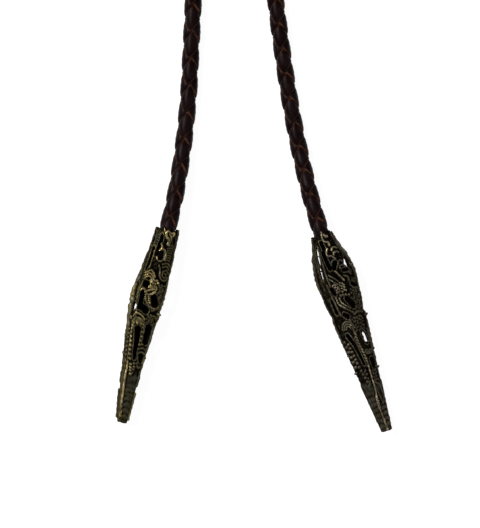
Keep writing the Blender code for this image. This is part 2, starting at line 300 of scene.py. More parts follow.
def bronze_finish(name, tarnish, wear, stained, olive, pale, stain, gold):
    """Antique bronze: nearly black in recesses, olive or stained on faces, and gold where it is rubbed."""
    finish = Finish(name, {"Specular IOR Level": 0.12, "Specular Tint": (0.62, 0.54, 0.38, 1.0)})
    place = finish.place()
    relief = finish.number("relief")
    rubbed = finish.number("rubbed")
    fine = finish.noise(place, 0.45 * MM, 4.0)
    broad = finish.noise(place, 2.6 * MM, 2.0)
    patches = finish.noise(place, 4.5 * MM, 2.0)
    face = finish.blend(broad.step(0.35, 0.68), olive, pale)
    face = finish.blend(stained * (1 - patches.step(0.34, 0.56)), face, stain)
    dark = finish.blend(fine.step(0.3, 0.8), BLACK, SOOT)
    body = finish.blend((1.6 * relief + 0.6 * fine - tarnish).clipped(), dark, face)
    shine = (wear * rubbed * (0.45 + 0.65 * patches.step(0.42, 0.60)) * (0.2 + 1.5 * fine)).clipped()
    colour = finish.blend(shine, body, gold)
    finish.feed(base_color=colour, metallic=0.80 + 0.2 * shine, roughness=0.46 - 0.16 * shine + 0.1 * fine,
                normal=finish.bump(fine, 0.05 * MM, 0.5))
    return finish.material


def floor_finish():
    """White, and lit a little from within so that the tie's shadow on it stays faint."""
    finish = Finish("white_floor", {"Base Color": (0.20, 0.20, 0.20, 1.0), "Roughness": 0.9,
                                    "Emission Color": (1.0, 1.0, 1.0, 1.0), "Emission Strength": 0.92})
    return finish.material


def new_object(name, data):
    made = bpy.data.objects.new(name, data)
    bpy.context.scene.collection.objects.link(made)
    return made


def give_numbers(mesh, numbers):
    """Gives each point of the mesh a number under each name."""
    for name, values in numbers.items():
        attribute = mesh.attributes.new(name, "FLOAT", "POINT")
        attribute.data.foreach_set("value", values.astype(np.float32).ravel())


def new_piece(name, points, faces, material, numbers):
    """A piece of four-sided faces, shaded smooth, with the given numbers on its points."""
    mesh = bpy.data.meshes.new(name)
    mesh.vertices.add(len(points))
    mesh.vertices.foreach_set("co", points.astype(np.float32).ravel())
    mesh.loops.add(faces.size)
    mesh.loops.foreach_set("vertex_index", faces.astype(np.int32).ravel())
    mesh.polygons.add(len(faces))
    mesh.polygons.foreach_set("loop_start", np.arange(0, faces.size, 4, dtype=np.int32))
    mesh.update(calc_edges=True)
    mesh.polygons.foreach_set("use_smooth", np.ones(len(faces), bool))
    give_numbers(mesh, numbers)
    mesh.materials.append(material)
    return new_object(name, mesh)


def ease(share):
    share = np.clip(share, 0.0, 1.0)
    return share * share * (3 - 2 * share)


def mix(a, b, share):
    return a + (b - a) * share


def smooth_points(points, steps):
    """A Catmull-Rom curve through the points, with the given number of steps between two points."""
    points = np.asarray(points, float)
    ends = np.concatenate([[2 * points[0] - points[1]], points, [2 * points[-1] - points[-2]]])
    before, start, end, after = (ends[k:len(ends) - 3 + k, None] for k in range(4))
    t = (np.arange(steps) / steps)[None, :, None]
    fine = 0.5 * (2 * start + (end - before) * t + (2 * before - 5 * start + 4 * end - after) * t ** 2
                  + (3 * start - before - 3 * end + after) * t ** 3)
    return np.concatenate([fine.reshape(-1, points.shape[1]), points[-1:]])


def lengths_along(points):
    steps = np.linalg.norm(np.diff(points, axis=0), axis=1)
    return np.concatenate([[0.0], np.cumsum(steps)])


def unit(vectors):
    return vectors / np.linalg.norm(vectors, axis=-1, keepdims=True)


class Line:
    """The cord's centreline, and at each point the direction most nearly up and the one beside it."""

    def __init__(self, points):
        self.points = smooth_points(points, ROUTE_STEPS)
        self.along = lengths_along(self.points)
        self.length = self.along[-1]
        forward = unit(np.gradient(self.points, self.along, axis=0))
        self.up = unit(np.array([0.0, 0.0, 1.0]) - forward[:, 2:] * forward)
        self.beside = np.cross(forward, self.up)

    def read(self, values, along):
        return np.stack([np.interp(along, self.along, values[:, k]) for k in range(3)], axis=-1)

    def past(self, along):
        """The centreline's point, carried on straight before its start."""
        before = np.minimum(along, 0.0)[..., None]
        start = unit(self.points[1] - self.points[0])
        return self.read(self.points, along) + before * start


def braid(name, line, start, pitch, lens_tip, step, hidden_from, material):
    """Four thongs wound round the line.

    A thong's point is at a turn t along it and w across it, in radians. It lies at the angle t + w / 2 round
    the cord and (t - w / 2) * pitch / (2 pi) along it, from where the turns are counted. Mirrored, that gives
    the thongs wound the other way. Its distance from the centreline swings out and in with the cosine of 2 t,
    flattened towards a square wave, so that each thong passes over one and under the next, and the section's
    height is added. Painted shade darkens it where it goes under, and past the length from which a tip hides
    it, where it shows no raw edge either.
    """
    section = np.array(THONG_SECTION)
    across = section[:, 0] * THONG_COVER * math.pi / 2
    wind = 2 * math.pi / pitch
    turn_step = step * wind
    reach = math.pi / 4
    first = (start - lens_tip) * wind + math.pi / 2
    count = math.ceil(((line.length - start) * wind + 2 * reach) / turn_step)
    turns = first - reach + np.arange(count + 1) * turn_step
    t, w = np.meshgrid(turns, across, indexing="ij")
    length = np.clip(start + (t - w / 2 - first) / wind, start, line.length)
    around = len(section)
    ring = np.arange(around)
    after = (ring + 1) % around
    cell = np.arange(count)[:, None] * around
    faces = np.stack([cell + ring, cell + around + ring, cell + around + after, cell + after], axis=-1)
    side = ring[:around // 2 - 1]
    cap = np.stack([side, side + 1, around - 2 - side, around - 1 - side], axis=-1)
    faces = np.concatenate([faces.reshape(-1, 4), cap, (cap + count * around)[:, ::-1]])
    middle = line.past(length)
    up = line.read(line.up, length)
    beside = line.read(line.beside, length)
    hidden = ease((length - hidden_from) / MM)
    points = []
    all_faces = []
    painted_shade = []
    for way, turned in ((1, 0.0), (1, math.pi), (-1, 0.0), (-1, math.pi)):
        swing = np.tanh(SWING_SQUARENESS * way * np.cos(2 * t)) / math.tanh(SWING_SQUARENESS)
        radius = THONG_MIDDLE + THONG_SWING * swing + section[:, 1] * MM
        angle = way * (t + w / 2) + turned
        outward = np.cos(angle)[..., None] * up + np.sin(angle)[..., None] * beside
        all_faces.append((faces if way > 0 else faces[:, ::-1]) + len(points) * t.size)
        points.append((middle + radius[..., None] * outward).reshape(-1, 3))
        # Painted shade where the thong dips under the next one and past where the tip hides it
        painted_shade.append(np.maximum(ease(0.5 - 1.1 * swing), hidden).ravel())
    raw_edge = np.tile((section[:, 2] * (1 - hidden)).ravel(), len(points))
    return new_piece(name, np.concatenate(points), np.concatenate(all_faces), material,
                     {"raw_edge": raw_edge, "painted_shade": np.concatenate(painted_shade)})


def half_side(side, along):
    """Half width of a tip's section at a share of its length."""
    shares = [row["along"] for row in LEAF_ROWS] + [PYRAMID_START, 1.0]
    halves = [MOUTH_RADIUS * row[side] for row in LEAF_ROWS] + [PYRAMID_HALF_SIDE, END_HALF_SIDE]
    return np.interp(along, shares, halves)


def squareness(along):
    return np.interp(along, [row["along"] for row in LEAF_ROWS], [row["square"] for row in LEAF_ROWS])


def panel_roll(side, along):
    tip = TIPS[side]
    return mix(tip["mouth_roll"], tip["pyramid_roll"], ease(along / PYRAMID_START))


def bow_share(along):
    """How far the tip's axis is bowed at a share of its length: not at its ends, and fully at its waist."""
    beyond = (along - PYRAMID_START) / (1 - PYRAMID_START)
    return np.where(along < PYRAMID_START, ease(along / PYRAMID_START), 1.0 - beyond ** 2)


def tip_axes(side):
    """The tip's up, sideways and long directions."""
    tip = TIPS[side]
    flat = np.array([tip["sign"] * math.sin(tip["lean"]), -math.cos(tip["lean"]), 0.0])
    up = np.array([0.0, 0.0, 1.0])
    axis = flat * math.cos(TIP_DROOP) - up * math.sin(TIP_DROOP)
    up = flat * math.sin(TIP_DROOP) + up * math.cos(TIP_DROOP)
    return np.stack([up, np.cross(up, axis), axis])


def section_points(side, along, panel, across, raised):
    """Points of the tip's outer face, from its mouth's centre.

    The angle round the axis is the arc tangent of the share across the panel, plus a quarter turn for each
    panel and the panels' roll. The radius is the half side times a number from 1, where the section is round,
    to the square's own distance, plus what is raised.
    """
    tip = TIPS[side]
    angle = np.arctan(across) + panel * 2 * math.pi / PANELS + panel_roll(side, along)
    radius = half_side(side, along) * mix(1.0, np.hypot(1.0, across), squareness(along)) + raised
    sideways = radius * np.sin(angle) + tip["sign"] * tip["bow"] * bow_share(along)
    local = np.stack([radius * np.cos(angle), sideways, along * tip["length"]], axis=-1)
    return local @ tip_axes(side)


def mouth_centre(side):
    """The mouth's centre, which sets the lowest raised corner of the tip on the floor."""
    tip = TIPS[side]
    rows, panels = np.meshgrid(np.linspace(0, 1, SEAT_ROWS), np.arange(PANELS), indexing="ij")
    lowest = section_points(side, rows, panels, np.ones(rows.shape), RELIEF)[..., 2].min()
    return np.array([tip["sign"] * (TUBE_SPACING / 2 + tip["out"]), -TUBE_LENGTH / 2 - tip["down"], -lowest])


class Ornament:
    """A tip's relief and openings on a grid that goes round its four panels, from the mouth to the end.

    Places are given as shares: round the tip, where panel 0 spans -1 to 1, the next one 1 to 3 and the one
    before it -3 to -1, and along the tip from 0 to 1. Sizes are in millimetres. A motif raises the height to
    at least its own. A cut lowers the distance to an opening's edge, which is negative inside the opening.
    """

    def __init__(self, side):
        columns = PANELS * PANEL_COLUMNS
        self.length = TIPS[side]["length"] / MM
        self.side = side
        self.around = np.arange(columns) * 2 / PANEL_COLUMNS - 1
        self.along = np.linspace(0, 1, PANEL_ROWS + 1)
        self.half = half_side(side, self.along) / MM
        self.height = np.zeros((PANEL_ROWS + 1, columns))
        self.edge = np.full(self.height.shape, FAR)
        self.through = np.full(self.height.shape, FAR)
        self.gold = np.zeros(self.height.shape)
        self.shift = 0.0
        self.polish = DULL

    def spots(self, points):
        """Places in millimetres across from the middle of the points and along the tip, and that middle."""
        points = np.array(points, float)
        middle = points[:, 0].mean()
        half = half_side(self.side, points[:, 1]) / MM
        spots = np.stack([(points[:, 0] - middle) * half, points[:, 1] * self.length], axis=-1)
        return spots, middle + self.shift

    def block(self, spots, middle, reach=1.6):
        """The part of the grid near some spots: its rows and columns, and its places in millimetres."""
        y = self.along * self.length
        rows = np.nonzero((y > spots[:, 1].min() - reach) & (y < spots[:, 1].max() + reach))[0]
        turn = (self.around - middle + PANELS) % (2 * PANELS) - PANELS
        widest = (np.abs(spots[:, 0]).max() + reach) / self.half[rows].min()
        columns = np.nonzero(np.abs(turn) < widest)[0]
        return np.ix_(rows, columns), turn[columns][None, :] * self.half[rows][:, None], y[rows][:, None]

    def near(self, line, middle):
        """The block near a line, the distance to the line, negative on one side, and the length along it."""
        block, x, y = self.block(line, middle)
        step = np.diff(line, axis=0)
        size = np.maximum((step ** 2).sum(axis=1), 1e-12)
        dx = x[..., None] - line[:-1, 0]
        dy = y[..., None] - line[:-1, 1]
        t = np.clip((dx * step[:, 0] + dy * step[:, 1]) / size, 0, 1)
        gap = np.hypot(dx - t * step[:, 0], dy - t * step[:, 1])
        best = gap.argmin(axis=-1)[..., None]
        gap = np.where(step[:, 0] * dy < step[:, 1] * dx, -gap, gap)
        along = lengths_along(line)[best] + np.take_along_axis(t, best, -1) * np.sqrt(size)[best]
        return block, np.take_along_axis(gap, best, -1)[..., 0], along[..., 0]

    def line(self, points):
        spots, middle = self.spots(points)
        return (spots if len(spots) == 2 else smooth_points(spots, MOTIF_STEPS)), middle

    def raise_to(self, block, height):
        """Raises the height, and gives what was raised the polish that is set."""
        self.gold[block] = np.where(height > self.height[block], self.polish, self.gold[block])
        self.height[block] = np.maximum(self.height[block], height)

    def round_bar(self, gap, half, height):
        return height * np.sqrt(np.clip(1 - (gap / half) ** 2, 0, 1))

    def wire(self, line, middle, half, height):
        """A round bar along a line that is already in millimetres."""
        block, gap, _ = self.near(line, middle)
        self.raise_to(block, self.round_bar(gap, half, height))

    def rib(self, points, half=0.28, height=0.40, arched=False):
        """A round rib along a smooth line, which if arched swells from nothing at its ends."""
        line, middle = self.line(points)
        block, gap, along = self.near(line, middle)
        if arched:
            height = height * np.sin(math.pi * along / lengths_along(line)[-1])
        self.raise_to(block, self.round_bar(gap, half, height))

    def rope(self, points, half=0.45, height=0.50, pitch=0.95):
        """A rib notched aslant at even steps, like a twisted wire."""
        block, gap, along = self.near(*self.line(points))
        notch = 0.25 + 0.75 * np.abs(np.sin(math.pi * (along + 0.9 * gap) / pitch))
        self.raise_to(block, self.round_bar(gap, half, height) * notch)

    def dots(self, spots, middle, radius, height):
        """Round beads at the given spots."""
        block, x, y = self.block(spots, middle)
        gap = np.hypot(x[..., None] - spots[:, 0], y[..., None] - spots[:, 1]).min(axis=-1)
        self.raise_to(block, self.round_bar(gap, radius, height))

    def beads(self, points, radius=0.48, height=0.55, pitch=1.25):
        """Round beads at even steps along a smooth line."""
        line, middle = self.line(points)
        lengths = lengths_along(line)
        at = np.linspace(0, lengths[-1], max(2, round(lengths[-1] / pitch) + 1))
        spots = np.stack([np.interp(at, lengths, line[:, 0]), np.interp(at, lengths, line[:, 1])], axis=-1)
        self.dots(spots, middle, radius, height)

    def knob(self, point, radius, height):
        spots, middle = self.spots([point])
        self.dots(spots, middle, radius, height)

    def spiral(self, point, outer, turns, start, way=1, half=0.22, height=0.42):
        """A scroll that winds in from its outer radius, starting at an angle in turns, 0 being across."""
        spots, middle = self.spots([point])
        t = np.linspace(0, 1, SPIRAL_POINTS)
        angle = 2 * math.pi * (start + way * turns * t)
        line = spots + (outer * (1 - 0.8 * t) * np.stack([np.cos(angle), np.sin(angle)])).T
        self.wire(line, middle, half, height)

    def arcs(self, point, radii, start, end, half=0.19, height=0.45):
        """Nested arcs about a point, between two angles in turns."""
        spots, middle = self.spots([point])
        angle = 2 * math.pi * np.linspace(start, end, ARC_POINTS)
        for radius in radii:
            line = spots + radius * np.stack([np.cos(angle), np.sin(angle)], axis=-1)
            self.wire(line, middle, half, height)

    def cut(self, points, halves, lip=0.26, through=False):
        """An opening along a line, given its half width at each end, and on request its like behind it."""
        line, middle = self.line(points)
        block, gap, along = self.near(line, middle)
        edge = np.abs(gap) - OPENING_SPREAD - mix(halves[0], halves[1], along / lengths_along(line)[-1])
        self.edge[block] = np.minimum(self.edge[block], edge)
        if through:
            self.through[block] = np.minimum(self.through[block], edge)
        self.raise_to(block, lip * np.exp(-((edge - LIP_DISTANCE) / LIP_WIDTH) ** 2))

    def grain(self, first, last, columns, rows, radius=0.30, height=0.34):
        """A field of small beads in staggered, uneven rows between two corners."""
        row, column = np.meshgrid(np.arange(rows), np.arange(columns), indexing="ij")
        loose_column = column + 0.5 * (row % 2) + 0.22 * np.sin(2.4 * row + 1.9 * column)
        loose_row = row + 0.22 * np.cos(1.7 * row + 2.6 * column)
        across = mix(first[0], last[0], loose_column / columns)
        along = mix(first[1], last[1], loose_row / max(rows - 1, 1))
        spots, middle = self.spots(np.stack([across.ravel(), along.ravel()], axis=-1))
        self.dots(spots, middle, radius, height)

    def bars(self, centre, along, step, count, reach, half=0.24, height=0.42, sag=0.006):
        """Stacked ribs across, each bowed towards the mouth."""
        for k in range(count):
            at = along + step * k
            self.rib([(centre - reach, at + sag), (centre, at), (centre + reach, at + sag)], half, height)


def left_tip_ornament(work):
    """Two panels of the left tip, at the set shift. The knob on its waist is made the first time only."""
    work.rib([(-1.0, 0.42), (-1.0, 0.52)], 0.4, 0.3)
    work.rib([(-3.0, 0.0), (-3.0, 0.8)], 0.42, 0.36)
    # Rim and slots
    work.cut([(-0.88, 0.042), (-0.84, 0.058), (-0.94, 0.092), (-0.86, 0.13)], (0.74, 0.66))
    work.polish = BRIGHT
    work.knob((-0.66, 0.006), 0.55, 0.55)
    work.rib([(-0.5, 0.016), (-0.2, 0.004), (0.2, 0.01), (0.3, 0.026)], 0.4, 0.58)
    work.rib([(-0.42, 0.02), (-0.3, 0.036), (-0.05, 0.05), (0.02, 0.072)], 0.5, 0.62)
    work.rib([(-0.1, 0.016), (0.1, 0.034), (0.16, 0.06)], 0.26, 0.44)
    work.polish = DULL
    work.cut([(0.44, 0.028), (0.66, 0.06), (0.86, 0.1), (0.96, 0.15)], (0.42, 0.34), lip=0.2)
    work.rib([(0.9, 0.0), (1.2, 0.04), (1.5, 0.1), (1.42, 0.17), (1.2, 0.21)], 0.4, 0.5)
    work.polish = BRIGHT
    work.rib([(-0.66, 0.074), (-0.44, 0.092), (-0.6, 0.112), (-0.76, 0.13)], 0.34, 0.58)
    work.rib([(-0.48, 0.098), (-0.14, 0.104), (0.06, 0.128), (0.06, 0.152)], 0.3, 0.5)
    work.cut([(-0.42, 0.126), (-0.34, 0.144)], (0.8, 0.76))
    work.polish = DULL
    work.bars(0.36, 0.074, 0.0125, 7, 0.26, 0.21, 0.46)
    work.rib([(-1.24, 0.118), (-1.12, 0.164), (-1.04, 0.205)], 0.34, 0.5)
    work.cut([(-1.58, 0.112), (-1.48, 0.17), (-1.6, 0.212)], (0.74, 0.6))
    work.cut([(-2.1, 0.025), (-2.00, 0.085)], (0.6, 0.5))
    work.bars(-1.45, 0.02, 0.0135, 7, 0.24, 0.24, 0.16)
    work.rib([(-2.52, 0.0), (-2.4, 0.1), (-2.46, 0.2), (-2.2, 0.25)], 0.36, 0.44)
    work.cut([(-2.72, 0.04), (-2.7, 0.17)], (0.36, 0.34))
    # Scrolls and waves
    work.polish = BRIGHT
    for k, sag in enumerate((0.0, 0.015, 0.03)):
        work.rib([(-1.5 + 0.1 * k, 0.236 + sag), (-1.05, 0.226 + sag), (-0.76, 0.216 + sag),
                  (-0.46, 0.228 + sag), (-0.26 - 0.03 * k, 0.246 + sag)], 0.22, 0.6)
    work.polish = DULL
    work.rib([(-0.24, 0.184), (-0.02, 0.206), (0.1, 0.234), (0.38, 0.254), (0.68, 0.252), (0.84, 0.236)],
             0.22, 0.46)
    work.rib([(0.26, 0.206), (0.28, 0.228), (0.44, 0.24), (0.64, 0.236), (0.64, 0.221), (0.48, 0.22)],
             0.17, 0.4)
    work.rib([(0.06, 0.176), (0.4, 0.166), (0.84, 0.18)], 0.22, 0.44)
    work.rib([(0.12, 0.19), (0.46, 0.182), (0.8, 0.2)], 0.22, 0.44)
    work.rib([(0.3, 0.212), (0.56, 0.202), (0.86, 0.218)], 0.2, 0.4)
    work.cut([(-0.96, 0.288), (-0.72, 0.29)], (0.92, 0.86))
    work.polish = BRIGHT
    work.spiral((-0.3, 0.278), 0.8, 1.2, 0.1)
    work.grain((-0.5, 0.262), (0.2, 0.304), 4, 4, 0.34, 0.46)
    for k in range(4):
        start = -0.5 + 0.17 * k
        work.rib([(start, 0.304), (start + 0.08, 0.292), (start + 0.16, 0.306)], 0.18, 0.56)
    work.rib([(-1.2, 0.324), (-0.86, 0.313), (-0.62, 0.322), (-0.38, 0.316), (-0.06, 0.306)], 0.3, 0.58)
    work.rib([(-0.84, 0.334), (-0.62, 0.328), (-0.42, 0.338), (-0.16, 0.334), (0.12, 0.318)], 0.3, 0.58)
    work.polish = DULL
    work.cut([(-0.88, 0.338), (-0.84, 0.392)], (0.72, 0.7))
    work.cut([(-0.92, 0.404), (-0.52, 0.408), (-0.2, 0.42)], (0.76, 0.86))
    work.rib([(-2.36, 0.2), (-2.36, 0.4), (-2.36, 0.6)], 0.7, 1.35, arched=True)
    work.cut([(-1.9, 0.41), (-1.66, 0.41)], (0.95, 0.95), through=True)
    work.cut([(-2.1, 0.3), (-1.98, 0.35)], (0.6, 0.6))
    work.rib([(-1.36, 0.28), (-1.5, 0.33), (-1.42, 0.4)], 0.4, 0.4)
    work.rib([(-2.6, 0.26), (-2.55, 0.34), (-2.62, 0.42)], 0.5, 0.46)
    work.polish = BRIGHT
    work.beads([(-0.54, 0.342), (-0.38, 0.372), (0.04, 0.396), (0.46, 0.402)], 0.36, 0.52, 0.66)
    work.beads([(-0.34, 0.338), (-0.2, 0.362), (-0.06, 0.378)], 0.32, 0.48, 0.62)
    work.polish = DULL
    work.cut([(0.16, 0.346), (0.3, 0.362), (0.44, 0.38)], (0.8, 0.96))
    work.grain((0.3, 0.282), (1.16, 0.392), 5, 11, 0.3, 0.26)
    work.rib([(0.36, 0.414), (0.66, 0.404), (0.9, 0.384), (1.0, 0.35)], 0.36, 0.46)
    if work.shift == 0:
        work.knob((0.98, 0.426), 0.5, 1.05)
    # Arch and bead rows
    work.polish = BRIGHT
    work.arcs((-0.7, 0.494), (0.95, 1.38, 1.82), 0.5, 1.0)
    work.knob((-0.7, 0.488), 0.52, 0.5)
    work.arcs((-2.5, 0.48), (0.6, 1.1, 1.6), 0.5, 1.0)
    work.rib([(-1.56, 0.462), (-1.0, 0.44), (-0.44, 0.448), (-0.1, 0.466)], 0.24, 0.46)
    work.polish = DULL
    work.grain((0.1, 0.44), (0.9, 0.486), 4, 5, 0.34, 0.4)
    work.polish = BRIGHT
    work.rope([(-1.42, 0.48), (-1.34, 0.512), (-1.26, 0.535)], 0.44, 0.52)
    work.beads([(-1.26, 0.54), (-1.1, 0.582), (-1.00, 0.623), (-0.78, 0.672)], 0.48, 0.6, 1.28)
    work.polish = DULL
    work.rib([(-1.52, 0.53), (-1.4, 0.58), (-1.3, 0.63), (-1.06, 0.69)], 0.24, 0.34)
    work.rope([(-0.16, 0.474), (0.00, 0.49), (0.04, 0.52)], 0.46, 0.55)
    work.beads([(0.02, 0.53), (0.02, 0.575), (-0.1, 0.64)], 0.44, 0.5, 1.2)
    work.cut([(-0.54, 0.518), (-0.42, 0.567), (-0.34, 0.625), (-0.24, 0.667)], (0.8, 0.34))
    work.cut([(0.46, 0.502), (0.5, 0.537), (0.54, 0.58)], (0.9, 0.66))
    work.rib([(0.92, 0.5), (0.96, 0.562), (0.9, 0.64), (0.96, 0.71)], 0.26, 0.5)
    work.bars(0.44, 0.588, 0.021, 3, 0.34, 0.28, 0.5)
    work.cut([(0.4, 0.646), (0.62, 0.676)], (0.5, 0.46))
    work.polish = BRIGHT
    work.beads([(-0.58, 0.7), (-0.5, 0.724), (-0.36, 0.748)], 0.46, 0.52, 0.95)
    work.polish = DULL
    work.beads([(-0.1, 0.694), (0.0, 0.716), (-0.16, 0.74)], 0.4, 0.4, 0.8)
    work.rib([(0.2, 0.69), (0.5, 0.71), (0.85, 0.7)], 0.3, 0.34)
    work.cut([(-2.6, 0.545), (-2.5, 0.61)], (0.62, 0.5))
    work.cut([(-2.28, 0.69), (-2.18, 0.734)], (0.42, 0.3))
    work.beads([(-2.06, 0.53), (-2.04, 0.66)], 0.44, 0.5, 1.25)
    work.knob((-2.9, 0.565), 0.5, 0.7)
    work.knob((-2.9, 0.655), 0.5, 0.7)
    # Ridge, stacked ribs and the seam's thin flange
    work.polish = GLEAMING
    work.rib([(-1.0, 0.69), (-0.97, 0.76), (-0.97, 0.84), (-0.98, 0.92)], 0.26, 0.72)
    work.rib([(-1.0, 0.89), (-0.96, 0.93), (-1.0, 0.965)], 0.4, 0.5)
    work.polish = DULL
    work.bars(-0.05, 0.806, 0.0225, 4, 0.72, 0.5, 0.08, 0.004)
    work.bars(-0.05, 0.905, 0.03, 3, 0.72, 0.56, 0.12, 0.004)
    work.bars(-2.0, 0.8, 0.03, 6, 0.72, 0.5, 0.06, 0.004)
    work.rib([(-3.0, 0.84), (-3.0, 0.98)], 0.24, 0.6)


def right_tip_ornament(work):
    """Two panels of the right tip, at the set shift. The knob on its waist is made the first time only."""
    work.rib([(1.0, -0.3), (1.0, 0.3), (1.0, 1.0)], 0.4, 0.36, arched=True)
    # Rim, scrolls and slots
    work.polish = BRIGHT
    work.knob((-0.06, 0.01), 0.75, 0.5)
    work.rib([(-0.24, -0.004), (-0.38, 0.016), (-0.3, 0.034), (-0.04, 0.044), (-0.02, 0.06)], 0.28, 0.56)
    work.knob((-0.86, 0.028), 0.5, 0.55)
    work.knob((-1.94, 0.006), 0.5, 0.5)
    work.rib([(-0.3, 0.072), (-0.5, 0.09), (-0.46, 0.108), (-0.24, 0.11), (-0.06, 0.128)], 0.28, 0.56)
    for along in (0.078, 0.101, 0.148, 0.172):
        work.polish = HALF_BRIGHT if along < 0.11 else DULL
        work.rib([(-0.04, along + 0.01), (0.06, along - 0.002), (0.26, along - 0.004),
                  (0.44, along + 0.004)], 0.25, 0.5)
    work.polish = DULL
    work.cut([(-0.68, 0.038), (-0.62, 0.066)], (0.62, 0.62))
    work.cut([(0.16, 0.194), (0.52, 0.196)], (0.4, 0.44))
    work.cut([(0.42, 0.268), (0.7, 0.282)], (0.44, 0.4))
    work.cut([(-0.84, 0.09), (-0.78, 0.164)], (0.8, 0.66))
    work.cut([(-0.2, 0.148), (-0.46, 0.172)], (0.6, 0.5))
    work.cut([(-1.5, 0.06), (-1.7, 0.13)], (0.5, 0.4), through=True)
    work.cut([(-1.92, 0.16), (-2.06, 0.205)], (0.55, 0.45), through=True)
    work.rib([(-1.3, 0.06), (-1.34, 0.13), (-1.5, 0.2), (-1.56, 0.26)], 0.3, 0.46)
    work.rib([(-1.9, 0.02), (-2.05, 0.09), (-2.3, 0.16), (-2.4, 0.26)], 0.34, 0.12)
    work.cut([(-2.5, 0.05), (-2.6, 0.15)], (0.45, 0.4), lip=0.0)
    work.rib([(1.0, -0.02), (1.0, 0.14), (1.0, 0.31)], 0.44, 1.3, arched=True)
    work.cut([(0.74, 0.142), (0.72, 0.166)], (0.3, 1.15), through=True)
    work.rib([(0.62, 0.0), (0.74, 0.06), (0.8, 0.12), (0.7, 0.19)], 0.3, 0.44)
    work.polish = BRIGHT
    work.rib([(-0.58, 0.166), (-0.36, 0.204), (-0.14, 0.24)], 0.24, 0.66)
    work.polish = HALF_BRIGHT
    work.rib([(0.00, 0.22), (0.18, 0.225), (0.27, 0.238), (0.2, 0.25)], 0.22, 0.48)
    work.polish = DULL
    work.spiral((0.66, 0.206), 0.95, 1.3, 0.2)
    work.spiral((0.72, 0.252), 0.8, 1.2, 0.6, way=-1)
    work.rib([(-1.2, 0.196), (-0.86, 0.212), (-0.6, 0.236)], 0.24, 0.44)
    work.rib([(-1.36, 0.214), (-1.00, 0.232), (-0.66, 0.252)], 0.22, 0.42)
    work.polish = BRIGHT
    work.grain((-1.3, 0.248), (-0.2, 0.286), 6, 4, 0.34, 0.48)
    work.polish = DULL
    work.cut([(-1.54, 0.268), (-1.5, 0.286)], (0.8, 0.76))
    work.beads([(-0.98, 0.304), (-0.62, 0.306), (-0.2, 0.314)], 0.42, 0.56, 1.1)
    work.cut([(-0.5, 0.33), (-0.32, 0.346), (-0.1, 0.368)], (0.84, 0.94))
    work.polish = HALF_BRIGHT
    work.beads([(-1.56, 0.312), (-1.54, 0.346), (-1.02, 0.372), (-0.4, 0.4)], 0.36, 0.54, 0.68)
    work.beads([(-1.24, 0.318), (-1.22, 0.34), (-0.94, 0.356), (-0.56, 0.376)], 0.34, 0.5, 0.66)
    work.polish = DULL
    work.cut([(-2.12, 0.32), (-2.26, 0.384)], (0.52, 0.44))
    work.rib([(-1.86, 0.24), (-1.9, 0.32), (-1.9, 0.4)], 0.32, 0.4)
    work.cut([(-1.44, 0.402), (-1.16, 0.412)], (0.66, 0.66))
    work.knob((-1.26, 0.407), 0.42, 0.2)
    work.grain((0.14, 0.29), (1.02, 0.41), 5, 12, 0.3, 0.28)
    work.rib([(-0.3, 0.412), (0.2, 0.404), (0.7, 0.414)], 0.28, 0.46)
    if work.shift == 0:
        work.knob((0.94, 0.432), 0.5, 1.0)
    # Arcs, rope and windows
    work.polish = HALF_BRIGHT
    work.arcs((-1.52, 0.472), (0.85, 1.55, 2.25), 0.5, 1.0, 0.24)
    work.polish = DULL
    work.rib([(-1.1, 0.43), (-0.96, 0.455), (-1.02, 0.485)], 0.34, 0.46)
    work.grain((-0.8, 0.43), (0.6, 0.49), 6, 5, 0.36, 0.34)
    work.cut([(-1.96, 0.504), (-1.54, 0.555), (-1.3, 0.605), (-1.12, 0.655)], (0.62, 0.34))
    work.beads([(-2.3, 0.545), (-2.16, 0.6), (-2.08, 0.65), (-1.9, 0.69), (-1.6, 0.742)],
               0.46, 0.58, 1.2)
    work.beads([(-2.66, 0.53), (-2.6, 0.66)], 0.5, 0.6, 1.6)
    work.polish = BRIGHT
    work.rope([(-0.96, 0.496), (-0.94, 0.548), (-0.76, 0.586), (-0.62, 0.626), (-0.54, 0.672)],
              0.46, 0.62)
    work.polish = DULL
    work.rib([(-1.22, 0.52), (-1.12, 0.57), (-0.96, 0.62), (-0.8, 0.67)], 0.22, 0.44)
    work.cut([(0.06, 0.514), (0.3, 0.556)], (0.7, 0.66))
    work.cut([(0.3, 0.52), (0.4, 0.55)], (0.36, 0.4), through=True)
    work.cut([(0.32, 0.646), (0.44, 0.68)], (0.66, 0.6))
    work.spiral((-0.1, 0.6), 0.85, 1.3, 0.0)
    work.spiral((0.36, 0.604), 0.8, 1.3, 0.5, way=-1)
    work.rib([(0.74, 0.5), (0.8, 0.58), (0.86, 0.7)], 0.28, 0.42)
    work.grain((-1.5, 0.69), (-1.1, 0.76), 2, 5, 0.34, 0.4)
    work.grain((-0.3, 0.7), (0.6, 0.745), 4, 4, 0.34, 0.36)
    # Ridge, leaf and stacked ribs
    work.polish = GLEAMING
    work.rib([(-0.56, 0.67), (-0.6, 0.73), (-0.64, 0.78), (-0.84, 0.83)], 0.26, 0.6)
    work.rope([(-0.84, 0.822), (-0.96, 0.88)], 0.46, 0.56, 0.8)
    work.rib([(-0.96, 0.88), (-0.86, 0.93), (-0.7, 0.992)], 0.28, 0.56)
    work.polish = DULL
    work.rib([(-0.3, 0.755), (0.34, 0.775), (0.6, 0.83), (0.1, 0.866)], 0.24, 0.36)
    work.rib([(-0.4, 0.77), (-0.2, 0.82), (0.1, 0.866)], 0.22, 0.34)
    work.bars(0.1, 0.882, 0.027, 4, 0.72, 0.48, 0.14, 0.005)
    work.bars(-2.0, 0.8, 0.028, 7, 0.7, 0.48, 0.08, 0.005)
    work.knob((-2.95, 0.69), 0.45, 0.9)
    work.knob((-2.95, 0.6), 0.45, 0.6)


